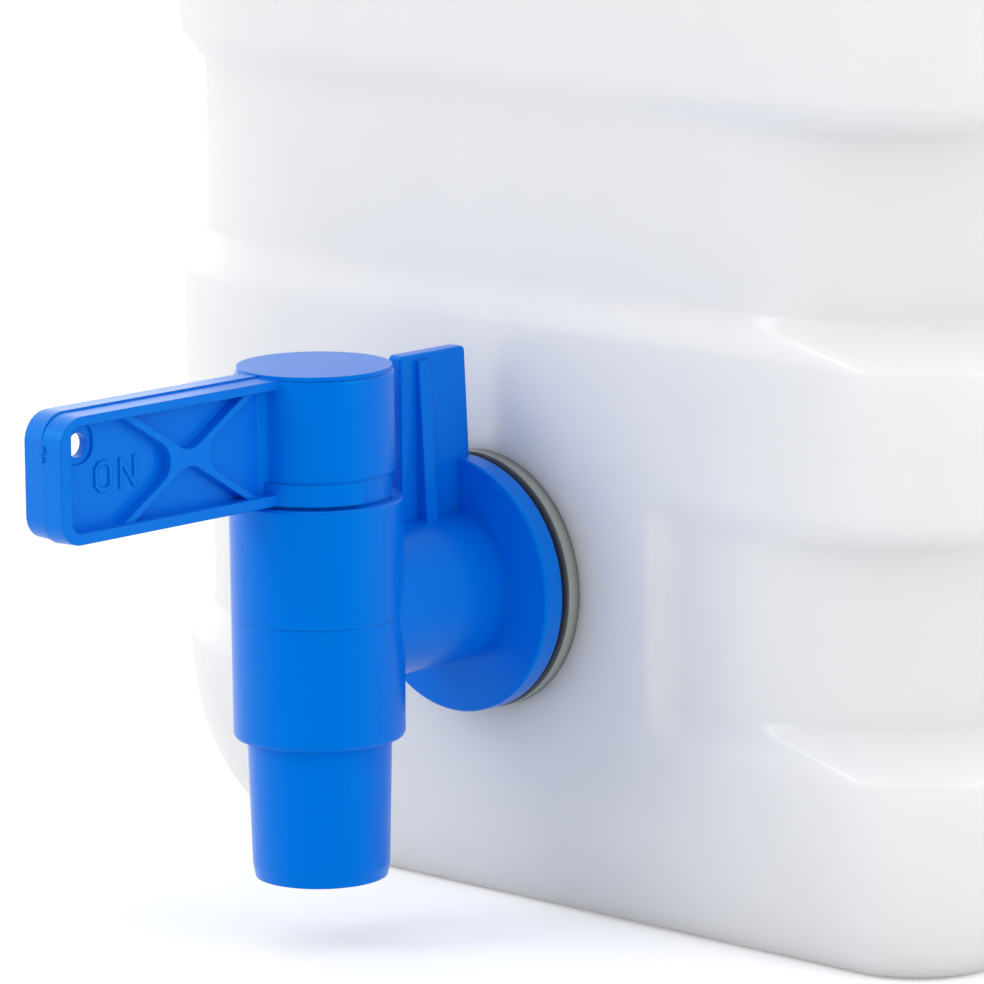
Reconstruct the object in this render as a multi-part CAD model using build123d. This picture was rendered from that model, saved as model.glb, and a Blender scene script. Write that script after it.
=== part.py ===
"""Square carboy with a lever spigot, modelled in millimetres.

The origin is the centre of the base. +Z is up and the spigot points along -Y.
Every solid is one real piece, written to parts/NODE.step.
"""
import os
from math import cos, pi, radians, sin, sqrt

from build123d import *

# Tank: a blow-moulded square bottle. Two opposite corners lie on the mould's parting plane and are tighter.
tank_width = 202.0
wall = 2.2
floor_thickness = 2.8
tight_corner = 18.0
soft_corner = 44.0
foot_radius = 5.0
foot_height = 33.0
foot_pull_in = 19.0
side_height = 236.0
shoulder_height = 33.0
shoulder_top_width = 78.0
outside_steps = 3
inside_steps = 2
shoulder_extra_bands = 3

# Grip grooves round the tank: shallow on the faces and deep at the corners
groove_count = 3
first_groove = 55.6
groove_pitch = 69.3
groove_floor = 28.5
groove_slope = 8.5
groove_depth = 2.0
groove_tight_corner = 43.0
groove_soft_corner = 48.0

# Neck, and the two moulded grips that join it to the shoulder
neck_radius = 26.0
neck_bore = 22.5
neck_thread_radius = 27.5
neck_thread_turns = 2
neck_thread_pitch = 4.0
neck_height = 51.0
neck_root_fillet = 4.0
neck_ring_radius = 29.5
neck_ring_thickness = 2.5
neck_ring_gap = 1.0
grip_width = 20.0
grip_thickness = 9.0
grip_edge = 2.5
grip_gap = 1.7
grip_reach = 79.0
grip_bend = 16.0

# Screw cap and its liner
cap_radius = 31.0
cap_top = 3.0
cap_skirt = 18.5
cap_ribs = 36
cap_rib_width = 2.4
cap_rib_rise = 0.9
liner_thickness = 1.2
liner_radius = 26.8

# Spigot seat: a flat pad on the front face, with the hole that the threaded stub passes through
spigot_level = 57.4
pad_width = 78.0
pad_height = 56.0
pad_corner = 9.0
pad_thickness = 4.6
pad_slope = 40.0

# Spigot body: flange, pipe, barrel, fin and threaded stub in one moulding
flange_radius = 22.5
flange_thickness = 4.3
flange_boss_radius = 18.5
flange_boss_thickness = 1.4
pipe_radius = 13.3
pipe_bore = 9.0
stub_radius = 13.2
stub_end = 7.0
seat_clearance = 0.3
barrel_reach = 41.0
barrel_top = 20.4
barrel_bottom = 21.1
barrel_top_radius = 14.85
barrel_bottom_radius = 14.7
barrel_bore = 12.75
barrel_edge = 0.8
parting_groove = 0.12
fin_thickness = 3.1
fin_top = 41.9
fin_front = 21.8
fin_rear_top = 6.0
fin_rear_foot = 5.0
fin_edge = 0.45
fin_corner = 0.9
rib_front = 18.2
rib_width = 2.8
rib_top = 40.7
rib_top_rise = 0.8
rib_foot_rise = 2.5

# Gasket outside, washer and nut inside
gasket_radius = 22.6
gasket_thickness = 2.6
washer_radius = 20.0
washer_thickness = 2.0
nut_flats = 36.0
nut_thickness = 8.0
nut_collar_radius = 21.0
nut_collar_thickness = 2.0

# Spigot lever: plug, hub, lever and nozzle in one moulding that turns in the barrel
running_clearance = 0.05
plug_bore = 9.8
plug_top_gap = 0.3
hub_radius = 13.55
hub_bottom = 25.1
hub_top = 42.2
hub_edge = 0.6
disc_radius = 13.2
disc_rise = 0.73
hub_roof = 3.4
skirt_radius = 14.0
skirt_bottom = 21.0
skirt_top = 24.8
skirt_half_angle = 81.0
recess_radius = 12.9
stop_half_angle = 8.5
stop_height = 4.0
stop_outer_radius = 14.5
nozzle_top_radius = 12.35
nozzle_tip_radius = 11.77
nozzle_bottom = 45.4
nozzle_lip = 2.2
nozzle_lip_inset = 0.4
window_radius = 8.6
snap_level = -18.4
snap_height = 1.6
snap_rise = 0.4
snap_clearance = 0.06

# Lever arm: a thin web with a rim on both sides, an X of ribs and a corner hole
lever_reach = 62.2
lever_top = 42.45
lever_bottom = 20.95
lever_half = 4.34
lever_draft = 2.0
lever_top_corner = 4.9
lever_bottom_corner = 4.1
mould_step = 0.3
arm_root_fillet = 1.8
lever_web = 2.6
rim_top = 1.7
rim_bottom = 2.0
rim_end = 2.5
pocket_corner = 2.0
cross_place = 0.404
cross_share = 0.305
cross_rib = 1.7
cross_rise = 2.0
cross_node = 3.6
cross_draft = 6.0
hole_radius = 2.05
hole_from_tip = 7.0
hole_below_top = 5.55
hole_recess = 0.45
hole_recess_length = 7.5
hole_recess_height = 7.0
hole_recess_corner = 3.0
gate_below_top = 5.5
gate_radius = 0.8
gate_rise = 0.3
gate_spacing = 1.7

# Seals on the plug
seal_section = 1.3
seal_level = 14.2
seal_groove_width = 1.6
seal_clearance = 0.02
seal_bevel = 0.3

# Levels and places that follow from the sizes above
half = tank_width / 2
front = -half
pad_face = front
gasket_face = pad_face - gasket_thickness
flange_back = gasket_face - flange_boss_thickness
flange_front = flange_back - flange_thickness
pad_back = pad_face + pad_thickness
washer_back = pad_back + washer_thickness
nut_back = washer_back + nut_thickness
stub_tip = nut_back + stub_end
axis_y = pad_face - barrel_reach
shoulder_top = side_height + shoulder_height
neck_top = shoulder_top + neck_height
plug_radius = barrel_bore - running_clearance
hole_in_wall = stub_radius + seat_clearance
liner_top = neck_top + liner_thickness
cap_bottom = liner_top - cap_skirt
neck_ring_top = cap_bottom - neck_ring_gap
neck_ring_bottom = neck_ring_top - neck_ring_thickness
grip_level = neck_ring_bottom - grip_gap - grip_thickness / 2
cap_bore = neck_thread_radius + running_clearance
thread_bottom = neck_top - (neck_thread_turns + 1) * neck_thread_pitch
plug_shoulder = barrel_top + plug_top_gap
seal_floor = plug_radius - seal_section
pocket_low = lever_bottom + rim_bottom
pocket_high = lever_top - rim_top
pocket_end = lever_reach - rim_end
pocket_middle = (pocket_low + pocket_high) / 2
cross_centre = hub_radius + cross_place * (pocket_end - hub_radius)
cross_span = cross_share * (pocket_end - hub_radius)


def outline(level, inset, tight, soft):
    """A rounded square at a level: tight corners at +X-Y and -X+Y, soft ones at the other two."""
    side = half - inset
    edges = []
    ends = []
    for quarter, radius in enumerate((tight, soft, tight, soft)):
        start = -90 + 90 * quarter
        middle = radians(start + 45)
        reach = (side - radius) * sqrt(2)
        centre = (reach * cos(middle), reach * sin(middle), level)
        arc = CenterArc(centre, radius, start, 90)
        edges.append(arc)
        ends.append((arc @ 0, arc @ 1))
    for quarter in range(4):
        edges.insert(2 * quarter + 1, Line(ends[quarter][1], ends[(quarter + 1) % 4][0]))
    return make_face(Wire(edges))


def foot_section(level):
    """Inset and corner radii in the foot zone: a small radius on the faces, a long sweep at the soft corners."""
    drop = max(foot_radius - level, 0)
    inset = foot_radius - sqrt(foot_radius ** 2 - drop ** 2)
    pull = foot_pull_in * (1 - sqrt(1 - (1 - level / foot_height) ** 2))
    sweep = max(pull - sqrt(2) * inset, 0) / (sqrt(2) - 1)
    return inset, tight_corner - inset, soft_corner + sweep


def groove_section(share):
    """Inset and corner radii on a groove's slope, from 0 on the ridge to 1 on the groove's floor."""
    blend = (1 - cos(pi * share)) / 2
    tight = tight_corner + blend * (groove_tight_corner - tight_corner)
    soft = soft_corner + blend * (groove_soft_corner - soft_corner)
    return blend * groove_depth, tight, soft


def shoulder_section(share):
    """Inset and corner radii over the dome of the shoulder, from the sides at 0 to the top at 1."""
    turn = share * pi / 2
    inset = (half - shoulder_top_width / 2) * (1 - cos(turn))
    last = shoulder_top_width / 2 - 1.0
    tight = tight_corner + share * (last - tight_corner)
    soft = soft_corner + share * (last - soft_corner)
    return inset, tight, soft


def tank_sections(steps):
    """Level, inset and corner radii of each section from the base to the top of the shoulder."""
    rows = []
    for step in range(steps):
        level = foot_radius * (1 - cos(step / steps * pi / 2))
        rows.append((level, *foot_section(level)))
    for step in range(steps + 1):
        level = foot_radius + (foot_height - foot_radius) * step / steps
        rows.append((level, *foot_section(level)))
    for number in range(groove_count):
        middle = first_groove + number * groove_pitch
        foot = middle - groove_floor / 2 - groove_slope
        head = middle + groove_floor / 2
        for step in range(steps + 1):
            rows.append((foot + groove_slope * step / steps, *groove_section(step / steps)))
        for step in range(steps + 1):
            rows.append((head + groove_slope * step / steps, *groove_section(1 - step / steps)))
    bands = steps + shoulder_extra_bands
    for step in range(bands + 1):
        level = side_height + shoulder_height * sin(step / bands * pi / 2)
        rows.append((level, *shoulder_section(step / bands)))
    return rows


def tank_skin(steps, offset, bottom, top_drop):
    """The tank's outside, or its inside when it is offset inwards by the wall."""
    faces = []
    for level, inset, tight, soft in tank_sections(steps):
        height = max(level, bottom) if level < foot_radius else min(level, shoulder_top - top_drop)
        if faces and height <= faces[-1][0] + 0.05:
            continue
        faces.append((height, outline(height, inset + offset, tight - offset, soft - offset)))
    return loft([face for _, face in faces], ruled=True)


def make_grip(side):
    """One moulded grip: a bar from the neck that bends down into the shoulder."""
    start = (side * (neck_bore + 1), 0, grip_level)
    corner = (side * grip_reach, 0, grip_level)
    foot = (side * grip_reach, 0, side_height + shoulder_height / 2)
    path = FilletPolyline(start, corner, foot, radius=grip_bend)
    bar = Rectangle(grip_width, grip_thickness)
    bar = chamfer(bar.vertices(), grip_edge)
    return sweep(Plane(origin=start, x_dir=(0, 1, 0), z_dir=(side, 0, 0)) * bar, path=path)


def disc_y(radius, low, high, x=0.0, z=spigot_level):
    """A round disc or shaft along Y between two places."""
    return Pos(x, (low + high) / 2, z) * Rot(90, 0, 0) * Cylinder(radius, high - low)


def disc_z(radius, low, high, x=0.0, y=0.0):
    """A round disc or shaft along Z between two levels."""
    return Pos(x, y, (low + high) / 2) * Cylinder(radius, high - low)


def make_tank():
    """The blow-moulded bottle with its neck, grips and spigot pad."""
    skin = tank_skin(outside_steps, 0, 0, 0)
    neck = disc_z(neck_radius, shoulder_top - wall, neck_top)
    neck += disc_z(neck_thread_radius, thread_bottom, neck_top)
    neck += disc_z(neck_ring_radius, neck_ring_bottom, neck_ring_top)
    neck += Pos(0, 0, shoulder_top) * Cone(
        neck_radius + neck_root_fillet, neck_radius, neck_root_fillet, align=(Align.CENTER, Align.CENTER, Align.MIN)
    )
    pad = extrude(
        Plane(origin=(0, pad_face, spigot_level), x_dir=(1, 0, 0), z_dir=(0, 1, 0))
        * RectangleRounded(pad_width, pad_height, pad_corner),
        amount=pad_thickness,
        taper=-pad_slope,
    )
    body = skin + neck
    for side in (-1, 1):
        body += make_grip(side)
    body -= tank_skin(inside_steps, wall, floor_thickness, wall)
    body += pad
    body -= disc_z(neck_bore, shoulder_top - 4 * wall, neck_top + 1)
    body -= disc_y(hole_in_wall, pad_face - 1, pad_back + 1)
    return body


def make_cap():
    """The ribbed screw cap."""
    cap = disc_z(cap_radius, cap_bottom, liner_top + cap_top)
    cap = fillet(cap.edges().group_by(Axis.Z)[-1], 1.5)
    rib = [
        (cap_radius - 1, -cap_rib_width / 2),
        (cap_radius + cap_rib_rise, -cap_rib_width / 5),
        (cap_radius + cap_rib_rise, cap_rib_width / 5),
        (cap_radius - 1, cap_rib_width / 2),
    ]
    ribs = PolarLocations(0, cap_ribs) * make_face(Polyline(*rib, close=True))
    cap += Pos(0, 0, cap_bottom) * extrude(Sketch() + ribs, amount=cap_skirt)
    cap -= disc_z(cap_bore, cap_bottom - 1, liner_top)
    return cap


def around(radius_inner, radius_outer, low, high, middle, half_angle):
    """A ring's sector about the barrel's axis, centred on a direction in degrees from +X."""
    sector = Sketch() + make_face(
        Wire(
            [
                CenterArc((0, 0), radius_outer, middle - half_angle, 2 * half_angle),
                Line(polar(radius_outer, middle + half_angle), polar(radius_inner, middle + half_angle)),
                CenterArc((0, 0), radius_inner, middle - half_angle, 2 * half_angle),
                Line(polar(radius_inner, middle - half_angle), polar(radius_outer, middle - half_angle)),
            ]
        )
    )
    return Pos(0, axis_y, spigot_level + low) * extrude(sector, amount=high - low)


def polar(radius, degrees):
    """A point on a circle about the origin."""
    return (radius * cos(radians(degrees)), radius * sin(radians(degrees)))


def turned(points):
    """A solid of revolution about the barrel's axis from points of radius and level."""
    profile = Plane.XZ * make_face(Polyline(*points, close=True))
    return Pos(0, axis_y, spigot_level) * revolve(profile, Axis.Z)


def make_fin():
    """The upright fin behind the hub, with a tapered rib on each side."""
    foot_level = pipe_radius - 2
    edge = [
        (pad_face - fin_front, spigot_level + foot_level),
        (pad_face - fin_front, spigot_level + fin_top),
        (pad_face - fin_rear_top, spigot_level + fin_top),
        (pad_face - fin_rear_foot, spigot_level + flange_radius - fin_edge),
        (pad_face - fin_rear_foot, spigot_level + foot_level),
    ]
    plate = Plane.YZ * make_face(Polyline(*edge, close=True))
    fin = extrude(plate, amount=fin_thickness / 2, both=True)
    fin = fillet(fin.edges().filter_by(Axis.X).group_by(Axis.Z)[-1], fin_corner)
    fin = fillet(fin.edges().filter_by(Axis.Z).group_by(Axis.Y)[0], fin_edge)
    rise = (rib_foot_rise - rib_top_rise) / (rib_top - foot_level)
    for side in (-1, 1):
        root = side * fin_thickness / 2
        rib = [
            (0, spigot_level + foot_level),
            (root + side * (rib_top_rise + rise * (rib_top - foot_level)), spigot_level + foot_level),
            (root + side * rib_top_rise, spigot_level + rib_top),
            (0, spigot_level + rib_top),
        ]
        wedge = Plane(origin=(0, pad_face - rib_front, 0), x_dir=(1, 0, 0), z_dir=(0, -1, 0)) * make_face(
            Polyline(*rib, close=True)
        )
        fin += extrude(wedge, amount=-rib_width)
    return fin


def make_spigot_body():
    """Flange, pipe, barrel, fin and threaded stub."""
    flange = disc_y(flange_radius, flange_front, flange_back)
    flange = fillet(flange.edges(), 0.5)
    barrel = turned(
        [
            (0, -barrel_bottom),
            (barrel_bottom_radius - barrel_edge, -barrel_bottom),
            (barrel_bottom_radius - barrel_edge * 0.3, -barrel_bottom + barrel_edge * 0.3),
            (barrel_bottom_radius, -barrel_bottom + barrel_edge),
            ((barrel_top_radius + barrel_bottom_radius) / 2, -parting_groove),
            ((barrel_top_radius + barrel_bottom_radius) / 2 - parting_groove, 0),
            ((barrel_top_radius + barrel_bottom_radius) / 2, parting_groove),
            (barrel_top_radius, barrel_top - barrel_edge / 2),
            (barrel_top_radius - barrel_edge / 2, barrel_top),
            (0, barrel_top),
        ]
    )
    body = barrel + disc_y(pipe_radius, axis_y, flange_front + 0.5) + flange
    body += disc_y(flange_boss_radius, flange_back - 0.5, gasket_face)
    body += disc_y(stub_radius, gasket_face - 0.5, stub_tip)
    body += make_fin()
    body -= turned(
        [
            (0, -barrel_bottom - 1),
            (barrel_bore, -barrel_bottom - 1),
            (barrel_bore, snap_level - snap_height / 2 - snap_clearance),
            (plug_radius + snap_rise + snap_clearance, snap_level - snap_height / 2 - snap_clearance),
            (plug_radius + snap_rise + snap_clearance, snap_level + snap_height / 2 + snap_clearance),
            (barrel_bore, snap_level + snap_height / 2 + snap_clearance),
            (barrel_bore, barrel_top + 1),
            (0, barrel_top + 1),
        ]
    )
    body -= disc_y(pipe_bore, axis_y, stub_tip + 1)
    stop_inner = recess_radius + 2 * running_clearance
    return body + around(stop_inner, stop_outer_radius, barrel_top - 0.5, barrel_top + stop_height, 90, stop_half_angle)


def lever_side(side):
    """One side's pocket of the lever, with the X of ribs left standing, as a solid to cut away."""
    root = hub_radius / 2
    length = pocket_end - root
    middle = (pocket_end + root) / 2
    plane = Plane(origin=(side * lever_web / 2, axis_y, spigot_level), x_dir=(0, side, 0), z_dir=(side, 0, 0))
    pocket = Pos(-middle * side, pocket_middle) * RectangleRounded(length, pocket_high - pocket_low, pocket_corner)
    centre = (-cross_centre * side, pocket_middle)
    rise = (pocket_high - pocket_low) / 2 + 1
    run = cross_span * rise / (rise - 1)
    cross = Sketch()
    for slant in (-1, 1):
        bar = Line((centre[0] - run, centre[1] - slant * rise), (centre[0] + run, centre[1] + slant * rise))
        cross += trace(bar, cross_rib)
    corners = cross.vertices().filter_by(lambda v: abs(v.X - centre[0]) < 4 and abs(v.Y - centre[1]) < 4)
    cross = fillet(corners, cross_node)
    depth = lever_half - lever_web / 2 + 1
    cut = extrude(plane * pocket, amount=depth)
    return cut - extrude(plane * cross, amount=cross_rise, taper=cross_draft)


def half_arm(side):
    """One half of the lever arm before its pockets. The left half sits a little higher, as the mould left it."""
    lift = mould_step if side < 0 else 0
    blank = Plane.YZ * (
        Pos(axis_y - lever_reach / 2, spigot_level + (lever_top + lever_bottom) / 2 + lift)
        * Rectangle(lever_reach, lever_top - lever_bottom)
    )
    arm = extrude(blank, amount=side * lever_half, taper=lever_draft)
    tip = arm.edges().filter_by(lambda e: e.center().Y < axis_y - lever_reach + 1 and e.length < lever_half * 1.2)
    tip = tip.sort_by(Axis.Z)
    arm = fillet(tip[0], lever_bottom_corner)
    tip = arm.edges().filter_by(lambda e: e.center().Y < axis_y - lever_reach + 1 and e.length < lever_half * 1.2)
    return fillet(tip.sort_by(Axis.Z)[-1], lever_top_corner)


def make_arm():
    """The lever arm, from inside the hub to its tip."""
    arm = half_arm(-1) + half_arm(1)
    for side in (-1, 1):
        arm -= lever_side(side)
    recess = Plane.YZ * (
        Pos(axis_y - pocket_end + hole_recess_length / 2, spigot_level + pocket_high - hole_recess_height / 2)
        * RectangleRounded(hole_recess_length, hole_recess_height, hole_recess_corner)
    )
    for side in (-1, 1):
        arm -= Pos(side * (lever_web / 2 - hole_recess), 0, 0) * extrude(recess, amount=side * lever_half)
    hole = Pos(0, axis_y - lever_reach + hole_from_tip, spigot_level + lever_top - hole_below_top) * Rot(0, 90, 0)
    arm -= hole * Cylinder(hole_radius, lever_web * 2)
    tip_face = axis_y - lever_reach
    gate_level = spigot_level + lever_top - gate_below_top
    arm += disc_y(gate_radius, tip_face - gate_rise, tip_face + 1, z=gate_level)
    return arm + disc_y(gate_radius * 0.7, tip_face - gate_rise, tip_face + 1, z=gate_level - gate_spacing)


def make_lever():
    """The rotor: plug, hub, skirt, nozzle and lever arm in one moulding."""
    groove = seal_groove_width / 2
    rotor = turned(
        [
            (0, hub_top + disc_rise),
            (disc_radius, hub_top + disc_rise),
            (disc_radius, hub_top),
            (hub_radius - hub_edge, hub_top),
            (hub_radius - hub_edge * 0.3, hub_top - hub_edge * 0.3),
            (hub_radius, hub_top - hub_edge),
            (hub_radius, hub_bottom),
            (recess_radius, hub_bottom),
            (recess_radius, plug_shoulder),
            (plug_radius, plug_shoulder),
            (plug_radius, seal_level + groove),
            (seal_floor, seal_level + groove),
            (seal_floor, seal_level - groove),
            (plug_radius, seal_level - groove),
            (plug_radius, -seal_level + groove),
            (seal_floor, -seal_level + groove),
            (seal_floor, -seal_level - groove),
            (plug_radius, -seal_level - groove),
            (plug_radius, snap_level + snap_height / 2),
            (plug_radius + snap_rise, snap_level + snap_height / 4),
            (plug_radius + snap_rise, snap_level - snap_height / 4),
            (plug_radius, snap_level - snap_height / 2),
            (plug_radius, -barrel_bottom - plug_top_gap),
            (nozzle_top_radius, -barrel_bottom - plug_top_gap),
            (nozzle_tip_radius, -nozzle_bottom + nozzle_lip),
            (nozzle_tip_radius - nozzle_lip_inset, -nozzle_bottom),
            (0, -nozzle_bottom),
        ]
    )
    skirt_inner = recess_radius - 0.5
    rotor += around(skirt_inner, skirt_radius, skirt_bottom, skirt_top, -90, skirt_half_angle)
    rotor += around(skirt_inner, hub_radius, skirt_top - 0.1, hub_bottom + 0.1, -90, skirt_half_angle)
    rotor += make_arm() - turned([(0, 0), (hub_radius - 0.5, 0), (hub_radius - 0.5, 60), (0, 60)])
    root_line = axis_y - sqrt(hub_radius ** 2 - (lever_web / 2) ** 2)
    root = rotor.edges().filter_by(Axis.Z).filter_by(
        lambda e: abs(abs(e.center().X) - lever_web / 2) < 0.01 and abs(e.center().Y - root_line) < 0.01
    )
    rotor = fillet(root, arm_root_fillet)
    rotor -= turned(
        [
            (0, -nozzle_bottom - 1),
            (plug_bore, -nozzle_bottom - 1),
            (plug_bore, hub_top + disc_rise - hub_roof),
            (0, hub_top + disc_rise - hub_roof),
        ]
    )
    window = Pos(-plug_radius, axis_y, spigot_level) * Rot(0, 90, 0) * Cylinder(window_radius, plug_radius)
    return rotor - window


def make_seal(level):
    """One plug seal, a ring of square section with its outer edges bevelled."""
    outside = barrel_bore - seal_clearance
    half_width = (seal_groove_width - seal_clearance) / 2
    return turned(
        [
            (seal_floor, level - half_width),
            (outside - seal_bevel, level - half_width),
            (outside, level - half_width + seal_bevel),
            (outside, level + half_width - seal_bevel),
            (outside - seal_bevel, level + half_width),
            (seal_floor, level + half_width),
        ]
    )


def make_gasket():
    """The flat gasket between the flange and the tank."""
    return disc_y(gasket_radius, gasket_face, pad_face) - disc_y(stub_radius + seat_clearance, gasket_face - 1, pad_face + 1)


def make_washer():
    """The plain washer inside the tank."""
    return disc_y(washer_radius, pad_back, washer_back) - disc_y(
        stub_radius + seat_clearance, pad_back - 1, washer_back + 1
    )


def make_nut():
    """The hexagonal nut inside the tank, with a round collar against the washer."""
    plane = Plane(origin=(0, washer_back, spigot_level), x_dir=(1, 0, 0), z_dir=(0, 1, 0))
    nut = extrude(plane * RegularPolygon(nut_flats / 2, 6, major_radius=False), amount=nut_thickness)
    nut += disc_y(nut_collar_radius, washer_back, washer_back + nut_collar_thickness)
    return nut - disc_y(stub_radius + running_clearance, washer_back - 1, nut_back + 1)


pieces = {
    "carboy_body": make_tank(),
    "cap_liner": disc_z(liner_radius, neck_top, liner_top),
    "screw_cap": make_cap(),
    "spigot_body": make_spigot_body(),
    "spigot_lever": make_lever(),
    "upper_plug_seal": make_seal(seal_level),
    "lower_plug_seal": make_seal(-seal_level),
    "flange_gasket": make_gasket(),
    "inner_washer": make_washer(),
    "lock_nut": make_nut(),
}

os.makedirs("parts", exist_ok=True)
for name, piece in pieces.items():
    export_step(piece, f"parts/{name}.step")
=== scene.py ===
from math import asin, cos, pi, radians, sin

import bmesh
import bpy
from mathutils import Matrix, Vector


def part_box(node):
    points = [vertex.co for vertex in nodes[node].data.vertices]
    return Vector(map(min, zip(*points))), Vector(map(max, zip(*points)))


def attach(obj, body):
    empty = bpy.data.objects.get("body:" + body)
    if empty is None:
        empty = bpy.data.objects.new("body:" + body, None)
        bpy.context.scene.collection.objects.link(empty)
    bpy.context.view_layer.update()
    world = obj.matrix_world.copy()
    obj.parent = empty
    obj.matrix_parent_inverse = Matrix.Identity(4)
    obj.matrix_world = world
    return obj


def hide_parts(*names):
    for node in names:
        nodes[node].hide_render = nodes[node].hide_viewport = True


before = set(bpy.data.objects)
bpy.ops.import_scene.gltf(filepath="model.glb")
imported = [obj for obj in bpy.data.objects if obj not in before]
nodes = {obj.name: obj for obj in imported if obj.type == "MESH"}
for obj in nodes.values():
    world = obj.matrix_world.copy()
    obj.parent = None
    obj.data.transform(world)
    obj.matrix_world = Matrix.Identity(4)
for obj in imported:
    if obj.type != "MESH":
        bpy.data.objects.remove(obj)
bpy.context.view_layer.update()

bpy.context.scene.view_settings.view_transform = "Standard"
bpy.ops.object.select_all(action="DESELECT")

# Carboy tank
# A square bottle blow-moulded in one piece from high-density polyethylene, with its neck and grips.
# The wall is a milky satin white that lets a little light into itself.
MM = 0.001


def linear(code, alpha=1.0):
    """An sRGB hex colour as linear values."""
    parts = [int(code[i:i + 2], 16) / 255 for i in (1, 3, 5)]
    return [p / 12.92 if p <= 0.04045 else ((p + 0.055) / 1.055) ** 2.4 for p in parts] + [alpha]


def add_node(tree, kind, values=None, links=None, **settings):
    """Adds a shader node with its settings, its sockets' values and its links."""
    node = tree.nodes.new(kind)
    for key, value in settings.items():
        setattr(node, key, value)
    for key, value in (values or {}).items():
        node.inputs[key].default_value = value
    for key, source in (links or {}).items():
        tree.links.new(source, node.inputs[key])
    return node


def start_material(name):
    """A new material with its Principled shader and Object coordinates."""
    material = bpy.data.materials.new(name)
    material.use_nodes = True
    tree = material.node_tree
    shader = tree.nodes["Principled BSDF"]
    place = add_node(tree, "ShaderNodeTexCoord").outputs["Object"]
    return material, tree, shader, place


def dress(name, material):
    """Gives a CAD node its material through its slots."""
    data = nodes[name].data
    for number in range(max(len(data.materials), 1)):
        if number < len(data.materials):
            data.materials[number] = material
        else:
            data.materials.append(material)


polyethylene, tree, shader, place = start_material("milky_polyethylene")
mottle_scale = 1 / (14 * MM)
mottle = add_node(tree, "ShaderNodeTexNoise", {"Scale": mottle_scale, "Detail": 3.0, "Roughness": 0.5}, {"Vector": place})
shade = add_node(
    tree, "ShaderNodeMix", {"A": linear("#eff0f1"), "B": linear("#f3f4f4")}, data_type="RGBA"
)
tree.links.new(mottle.outputs["Fac"], shade.inputs["Factor"])
tree.links.new(shade.outputs["Result"], shader.inputs["Base Color"])
shader.inputs["Roughness"].default_value = 0.26
shader.inputs["IOR"].default_value = 1.45
shader.inputs["Subsurface Weight"].default_value = 1.0
shader.inputs["Subsurface Radius"].default_value = (1.0, 1.0, 1.0)
shader.inputs["Subsurface Scale"].default_value = 20 * MM
ripple = add_node(tree, "ShaderNodeTexNoise", {"Scale": 1 / (9 * MM), "Detail": 2.0}, {"Vector": place})
relief = add_node(tree, "ShaderNodeBump", {"Strength": 0.12, "Distance": 0.25 * MM}, {"Height": ripple.outputs["Fac"]})
tree.links.new(relief.outputs["Normal"], shader.inputs["Normal"])

low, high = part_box("carboy_body")
half = high.x
tight_corner = 18 * MM
soft_corner = 44 * MM
foot_radius = 5 * MM
foot_height = 33 * MM
foot_pull_in = 19 * MM
side_height = 236 * MM
shoulder_height = 33 * MM
shoulder_top_half = 39 * MM
wall = 2.2 * MM
groove_count = 3
first_groove = 55.6 * MM
groove_pitch = 69.3 * MM
groove_floor = 28.5 * MM
groove_slope = 8.5 * MM
groove_depth = 2 * MM
groove_tight = 43 * MM
groove_soft = 48 * MM
pad_half_width = 39 * MM
pad_half_height = 28 * MM
pad_middle = 57.4 * MM
pad_fade = 4 * MM
corner_steps = 20
face_steps = 56


def smooth(share):
    """A share from 0 to 1 that starts and ends gently."""
    return (1 - cos(pi * min(max(share, 0), 1))) / 2


def tank_section(level):
    """Inset of the faces and radii of the tight and soft corners at a level."""
    if level < foot_height:
        drop = max(foot_radius - level, 0)
        inset = foot_radius - (foot_radius ** 2 - drop ** 2) ** 0.5
        pull = foot_pull_in * (1 - (1 - (1 - level / foot_height) ** 2) ** 0.5)
        sweep = max(pull - 2 ** 0.5 * inset, 0) / (2 ** 0.5 - 1)
        return inset, tight_corner - inset, soft_corner + sweep
    if level > side_height:
        turn = min((level - side_height) / shoulder_height, 1)
        share = (1 - turn * turn) ** 0.5
        angle = 1 - share
        blend = min(max(2 * asin(min(turn, 1)) / pi, 0), 1)
        inset = (half - shoulder_top_half) * angle
        last = shoulder_top_half - 1 * MM
        return inset, tight_corner + blend * (last - tight_corner), soft_corner + blend * (last - soft_corner)
    share = 0
    for number in range(groove_count):
        away = abs(level - first_groove - number * groove_pitch)
        share = max(share, smooth((groove_floor / 2 + groove_slope - away) / groove_slope))
    tight = tight_corner + share * (groove_tight - tight_corner)
    soft = soft_corner + share * (groove_soft - soft_corner)
    return share * groove_depth, tight, soft


def tank_levels():
    """Levels of the mesh's rings, close together on each slope and round the foot and shoulder."""
    levels = [foot_radius * (1 - cos(step / 8 * pi / 2)) for step in range(8)]
    levels += [foot_radius + (foot_height - foot_radius) * step / 14 for step in range(14)]
    levels.append(foot_height - 0.01 * MM)
    for number in range(groove_count):
        middle = first_groove + number * groove_pitch
        for way in (-1, 1):
            edge = middle + way * (groove_floor / 2 + groove_slope / 2)
            levels += [edge + groove_slope * (step / 14 - 0.5) for step in range(15)]
        levels += [middle + groove_floor * (step / 6 - 0.5) for step in range(1, 6)]
        ridge = middle + groove_pitch / 2
        levels += [ridge - 6 * MM, ridge, ridge + 6 * MM]
    levels = [level for level in levels if level < side_height]
    levels += [side_height + shoulder_height * sin(step / 18 * pi / 2) for step in range(19)]
    return sorted(levels)


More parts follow.
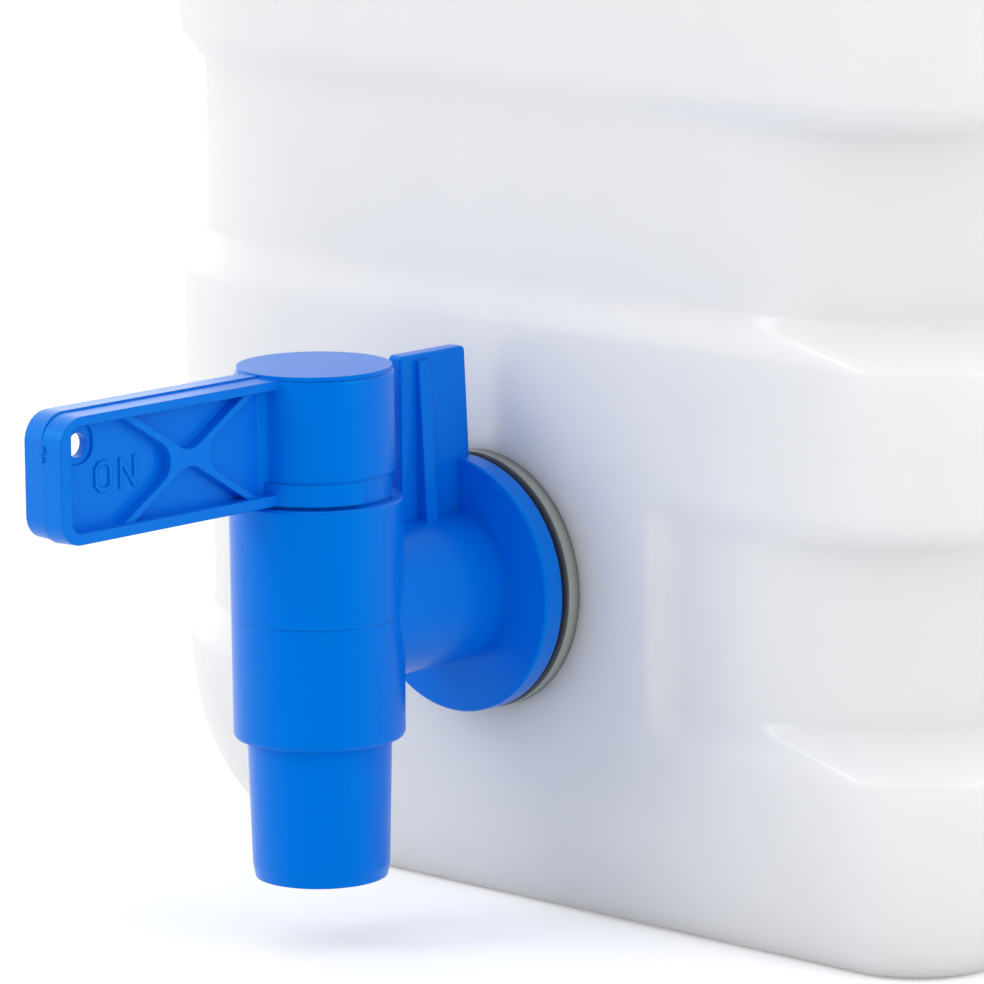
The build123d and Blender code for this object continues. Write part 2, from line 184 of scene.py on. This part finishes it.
def tank_ring(level):
    """Points of the tank's outline at a level, anticlockwise from its right face."""
    inset, tight, soft = tank_section(level)
    side = half - inset
    points = []
    radii = [soft, tight] * 2
    for quarter, radius in enumerate(radii):
        after = radii[(quarter + 1) % 4]
        start = radians(90 * quarter)
        middle = Matrix.Rotation(start + pi / 4, 3, "Z") @ Vector(((side - radius) * 2 ** 0.5, 0, 0))
        for step in range(corner_steps + 1):
            angle = start + pi / 2 * step / corner_steps
            points.append(Vector((middle.x + radius * cos(angle), middle.y + radius * sin(angle), level)))
        last = points[-1].copy()
        turn = start + pi / 2
        run = (side - radius) + (side - after)
        ahead = Vector((-sin(turn), cos(turn), 0))
        points += [last + ahead * run * step / face_steps for step in range(1, face_steps)]
    return points


def fill_pad(point):
    """Brings the front face out flush round the spigot, where the second groove stops short of it."""
    if point.y > -half + groove_depth * 1.1 or abs(point.x) > half - soft_corner:
        return
    across = smooth((pad_half_width + pad_fade - abs(point.x)) / pad_fade)
    upward = smooth((pad_half_height + pad_fade - abs(point.z - pad_middle)) / pad_fade)
    point.y += (-half - point.y) * across * upward if point.z > foot_radius * 2 else 0


def neck_ring(radius, level):
    """A round ring of the neck, with its points in the directions of the shoulder's outline."""
    return [Vector((*(point.xy.normalized() * radius), level)) for point in tank_ring(shoulder_top)]


shoulder_top = side_height + shoulder_height
neck_top = high.z
neck_radius = 26 * MM
thread_radius = 27.5 * MM
thread_height = 12 * MM
bore_radius = 22.5 * MM
root_fillet = 4 * MM
bead_radius = 29.5 * MM
bead_low = neck_top - 20.8 * MM
bead_high = neck_top - 18.3 * MM
bead_edge = 0.6 * MM
rows = [tank_ring(level) for level in tank_levels()]
for ring in rows:
    for point in ring:
        fill_pad(point)
for step in range(7):
    turn = pi / 2 * step / 6
    rows.append(neck_ring(neck_radius + root_fillet * (1 - sin(turn)), shoulder_top + root_fillet * (1 - cos(turn))))
neck_profile = [
    (neck_radius, bead_low),
    (bead_radius - bead_edge, bead_low),
    (bead_radius, bead_low + bead_edge),
    (bead_radius, bead_high - bead_edge),
    (bead_radius - bead_edge, bead_high),
    (neck_radius, bead_high),
    (neck_radius, neck_top - thread_height),
    (thread_radius, neck_top - thread_height + bead_edge),
    (thread_radius, neck_top - bead_edge),
    (thread_radius - bead_edge, neck_top),
    (bore_radius, neck_top),
    (bore_radius, shoulder_top - wall),
]
rows += [neck_ring(radius, level) for radius, level in neck_profile]
shape = bmesh.new()
rings = [[shape.verts.new(point) for point in ring] for ring in rows]
for below, above in zip(rings, rings[1:]):
    for number in range(len(below)):
        after = (number + 1) % len(below)
        shape.faces.new((below[number], below[after], above[after], above[number]))
shape.faces.new(list(reversed(rings[0])))
shape.faces.new(rings[-1])
mesh = bpy.data.meshes.new("tank_shell")
shape.to_mesh(mesh)
shape.free()
tank = bpy.data.objects.new("tank_shell", mesh)
bpy.context.scene.collection.objects.link(tank)
tank.data.materials.append(polyethylene)
bpy.context.view_layer.objects.active = tank
tank.select_set(True)
bpy.ops.object.shade_smooth_by_angle(angle=radians(40))
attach(tank, "tank")
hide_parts("carboy_body")

# Grips
# Two flat loops moulded with the tank, of the same polyethylene.
# Each leaves the neck level, bends over and runs down into the shoulder.
grip_width = 20 * MM
grip_thickness = 9 * MM
grip_level = bead_low - 1.7 * MM - grip_thickness / 2
grip_reach = 79 * MM
grip_bend = 16 * MM
grip_foot = side_height + shoulder_height / 2
for number in range(2):
    bpy.ops.object.select_all(action="DESELECT")
    bpy.ops.mesh.primitive_plane_add(size=1, location=(bore_radius + 1 * MM, 0, grip_level), rotation=(0, pi / 2, 0))
    grip = bpy.context.object
    grip.name = f"tank_grip_{number + 1}"
    grip.scale = (grip_thickness, grip_width, 1)
    bpy.ops.object.transform_apply(location=True, rotation=True, scale=True)
    bpy.ops.object.mode_set(mode="EDIT")
    bpy.ops.mesh.select_all(action="SELECT")
    bpy.ops.mesh.bevel(offset=2.8 * MM, segments=6, affect="VERTICES")
    bpy.ops.mesh.select_all(action="SELECT")
    bpy.ops.mesh.extrude_region_move(TRANSFORM_OT_translate={"value": (grip_reach - grip_bend - bore_radius - 1 * MM, 0, 0)})
    bpy.ops.mesh.spin(
        steps=14,
        angle=-pi / 2,
        center=(grip_reach - grip_bend, 0, grip_level - grip_bend),
        axis=(0, 1, 0),
    )
    bpy.ops.mesh.extrude_region_move(TRANSFORM_OT_translate={"value": (0, 0, grip_foot - grip_level + grip_bend)})
    bpy.ops.mesh.select_all(action="SELECT")
    bpy.ops.mesh.normals_make_consistent(inside=False)
    bpy.ops.object.mode_set(mode="OBJECT")
    if number:
        grip.data.transform(Matrix.Rotation(pi, 4, "Z"))
    bpy.ops.object.shade_smooth_by_angle(angle=radians(40))
    grip.data.materials.append(polyethylene)
    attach(grip, "tank")

# Screw cap and liner
# The cap is injection-moulded polypropylene with fine grip ribs, and the liner a disc of white foam.
# Both are a plain white, the cap with a soft gloss and the liner matte.
polypropylene, tree, shader, place = start_material("white_polypropylene")
shader.inputs["Base Color"].default_value = linear("#eceef0")
shader.inputs["Roughness"].default_value = 0.32
dress("screw_cap", polypropylene)
foam, tree, shader, place = start_material("white_liner_foam")
shader.inputs["Base Color"].default_value = linear("#e6e6e4")
shader.inputs["Roughness"].default_value = 0.8
dress("cap_liner", foam)

# Spigot
# Body and lever are injection-moulded polypropylene in one saturated blue, with a soft gloss.
# The lever turns in the barrel, and the flange bears on a grey gasket.
blue_plastic, tree, shader, place = start_material("blue_polypropylene")
shader.inputs["Base Color"].default_value = linear("#0070e6")
shader.inputs["Roughness"].default_value = 0.28
shader.inputs["IOR"].default_value = 1.45
shader.inputs["Specular Tint"].default_value = linear("#00ffff")
edge = add_node(tree, "ShaderNodeBevel", {"Radius": 0.35 * MM}, samples=4)
grain = add_node(tree, "ShaderNodeTexNoise", {"Scale": 1 / (1.6 * MM), "Detail": 2.0}, {"Vector": place})
relief = add_node(
    tree,
    "ShaderNodeBump",
    {"Strength": 0.02, "Distance": 0.1 * MM},
    {"Height": grain.outputs["Fac"], "Normal": edge.outputs["Normal"]},
)
tree.links.new(relief.outputs["Normal"], shader.inputs["Normal"])
for name in ("spigot_body", "spigot_lever", "lock_nut"):
    dress(name, blue_plastic)

# Words on the lever
# ON stands on the right face of the lever's web and OFF on the left one, as plain raised letters.
# They are part of the lever's moulding, so they take its blue.
web_face = 1.3 * MM
stroke = 0.75 * MM
letter_rise = 0.3 * MM
letter_height = 5.2 * MM
letter_level = (57.4 + 28.5) * MM
first_letter = (-142 - 52.1) * MM


def letter_shape(letter, width, height):
    """Points and faces of a letter in the XY plane, from its lower left corner."""
    if letter == "O":
        points = []
        for inset, cut in ((0, width * 0.28), (stroke, width * 0.14)):
            x, y = width - inset, height - inset
            points += [(inset + cut, inset), (x - cut, inset), (x, inset + cut), (x, y - cut)]
            points += [(x - cut, y), (inset + cut, y), (inset, y - cut), (inset, inset + cut)]
        return points, [(n, (n + 1) % 8, (n + 1) % 8 + 8, n + 8) for n in range(8)]
    if letter == "N":
        x, up = width - stroke, height * 0.72
        points = [(0, 0), (stroke, 0), (stroke, up), (x, 0), (width, 0), (width, height), (x, height)]
        points += [(x, height - up), (stroke, height), (0, height)]
    else:
        x, up = width * 0.85, height * 0.44
        points = [(0, 0), (stroke, 0), (stroke, up), (x, up), (x, up + stroke), (stroke, up + stroke)]
        points += [(stroke, height - stroke), (width, height - stroke), (width, height), (0, height)]
    return points, [tuple(range(10))]


for word, way, letter_width, pitch in (("ON", 1, 3.9 * MM, 5.5 * MM), ("OFF", -1, 3.1 * MM, 4.5 * MM)):
    points, faces = [], []
    for number, letter in enumerate(word):
        outline, cells = letter_shape(letter, letter_width, letter_height)
        faces += [tuple(corner + len(points) for corner in cell) for cell in cells]
        points += [(x + number * pitch, y, 0) for x, y in outline]
    mesh = bpy.data.meshes.new(f"lever_word_{word.lower()}")
    mesh.from_pydata(points, [], faces)
    text = bpy.data.objects.new(mesh.name, mesh)
    bpy.context.scene.collection.objects.link(text)
    bpy.ops.object.select_all(action="DESELECT")
    bpy.context.view_layer.objects.active = text
    text.select_set(True)
    bpy.ops.object.mode_set(mode="EDIT")
    bpy.ops.mesh.select_all(action="SELECT")
    bpy.ops.mesh.extrude_region_move(TRANSFORM_OT_translate={"value": (0, 0, letter_rise * 2)})
    bpy.ops.mesh.select_all(action="SELECT")
    bpy.ops.mesh.normals_make_consistent(inside=False)
    bpy.ops.object.mode_set(mode="OBJECT")
    reading = Matrix(((0, 0, way), (way, 0, 0), (0, 1, 0))).to_4x4()
    start = first_letter if way > 0 else first_letter + (len(word) - 1) * pitch + letter_width
    text.data.transform(Matrix.Translation((way * (web_face - letter_rise), start, letter_level)) @ reading)
    text.data.materials.append(blue_plastic)
    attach(text, "lever")

# Seals, gasket and washer
# The gasket is soft grey rubber pressed flat, with painted shade in its crevices, and the plug's seals are black
# rubber rings.
# The washer inside the tank is natural polypropylene.
grey_rubber, tree, shader, place = start_material("grey_gasket_rubber")
# Painted shade: where ambient occlusion finds a crevice within 3 mm, the gasket's colour runs down to a dark
# blue-grey. This stands in for the shade and the blue reflected light in the gap behind the flange.
crevice = add_node(tree, "ShaderNodeAmbientOcclusion", {"Distance": 3 * MM}, samples=6)
painted_shade_share = add_node(
    tree, "ShaderNodeMapRange", {"From Min": 0.45, "From Max": 0.75}, {"Value": crevice.outputs["AO"]}
)
# The dark blue-grey is the painted shade and reflected blue, and the light grey is the rubber's own colour.
shade = add_node(
    tree,
    "ShaderNodeMix",
    {"A": linear("#2c3646"), "B": linear("#a1a59f")},
    {"Factor": painted_shade_share.outputs["Result"]},
    data_type="RGBA",
)
tree.links.new(shade.outputs["Result"], shader.inputs["Base Color"])
shader.inputs["Roughness"].default_value = 0.7
dress("flange_gasket", grey_rubber)
black_rubber, tree, shader, place = start_material("black_seal_rubber")
shader.inputs["Base Color"].default_value = linear("#161616")
shader.inputs["Roughness"].default_value = 0.5
dress("upper_plug_seal", black_rubber)
dress("lower_plug_seal", black_rubber)
dress("inner_washer", polypropylene)

# Floor and light
# A plain white sweep under soft studio light, with a white background for the camera.
# Two large soft boxes stand to the right and above, and the rest of the room is pale.
bpy.ops.mesh.primitive_plane_add(size=6.0, location=(0, 0, 0))
floor = bpy.context.object
floor.name = "floor"
white_floor, tree, shader, place = start_material("white_floor_paper")
shader.inputs["Base Color"].default_value = linear("#f4f4f4")
shader.inputs["Roughness"].default_value = 0.9
shader.inputs["Specular IOR Level"].default_value = 0.0
rays = add_node(tree, "ShaderNodeLightPath")
seen = add_node(
    tree, "ShaderNodeMath", {}, {0: rays.outputs["Is Camera Ray"], 1: rays.outputs["Is Glossy Ray"]}, operation="MAXIMUM"
)
shader.inputs["Emission Color"].default_value = (1, 1, 1, 1)
lift = add_node(tree, "ShaderNodeMath", {1: 0.3}, {0: seen.outputs[0]}, operation="MULTIPLY")
tree.links.new(lift.outputs[0], shader.inputs["Emission Strength"])
floor.data.materials.append(white_floor)

world = bpy.data.worlds.new("pale_room")
bpy.context.scene.world = world
world.use_nodes = True
tree = world.node_tree
room = tree.nodes["Background"]
room.inputs["Color"].default_value = (1, 1, 1, 1)
rays = add_node(tree, "ShaderNodeLightPath")
way = add_node(tree, "ShaderNodeTexCoord").outputs["Generated"]
facing = add_node(
    tree, "ShaderNodeVectorMath", {1: (0.68, -0.709, 0.188)}, {0: way}, operation="DOT_PRODUCT"
)
walls = add_node(
    tree,
    "ShaderNodeMapRange",
    {"From Min": 0.35, "From Max": 0.9, "To Min": 1.8, "To Max": 0.2},
    {"Value": facing.outputs["Value"]},
    interpolation_type="SMOOTHSTEP",
)
mirrored = add_node(
    tree, "ShaderNodeMix", {"A": 0.8}, {"Factor": rays.outputs["Is Glossy Ray"], "B": walls.outputs["Result"]}
)
white_seen = add_node(
    tree, "ShaderNodeMix", {"B": 1.0}, {"Factor": rays.outputs["Is Camera Ray"], "A": mirrored.outputs["Result"]}
)
tree.links.new(white_seen.outputs["Result"], room.inputs["Strength"])


def add_soft_box(name, place, target, width, height, power):
    """An area lamp that faces a point."""
    light = bpy.data.lights.new(name, "AREA")
    light.shape = "RECTANGLE"
    light.size = width
    light.size_y = height
    light.energy = power
    lamp = bpy.data.objects.new(name, light)
    bpy.context.scene.collection.objects.link(lamp)
    lamp.location = place
    lamp.rotation_euler = (Vector(target) - Vector(place)).to_track_quat("-Z", "Y").to_euler()
    return lamp


add_soft_box("soft_box_left", (-0.75, -1.3, 1.0), (0, -0.1, 0.12), 0.6, 0.6, 5.0)
add_soft_box("soft_box_right", (1.5, 0.3, 0.8), (0, -0.1, 0.12), 0.8, 0.8, 4.0)

# Camera
# A long lens a little over a metre away, low and to the right of the spigot.
# The framing cuts off the tank's top and right side.
turn = radians(43.843)
height = radians(10.830)
roll = radians(-0.574)
focal_pixels = 6419.7
image_pixels = 984
side = Vector((cos(turn), sin(turn), 0))
back = Vector((sin(turn) * cos(height), -cos(turn) * cos(height), sin(height)))
up = back.cross(side)
across = side * cos(roll) + up * sin(roll)
upright = up * cos(roll) - side * sin(roll)
camera_data = bpy.data.cameras.new("camera")
camera_data.sensor_width = 36
camera_data.lens = focal_pixels / image_pixels * 36
camera_data.clip_start = 0.05
camera_data.clip_end = 20
camera = bpy.data.objects.new("camera", camera_data)
bpy.context.scene.collection.objects.link(camera)
spot = Vector((761.15, -891.53, 282.39)) * MM
camera.matrix_world = Matrix((across, upright, back)).transposed().to_4x4()
camera.location = spot
bpy.context.scene.camera = camera
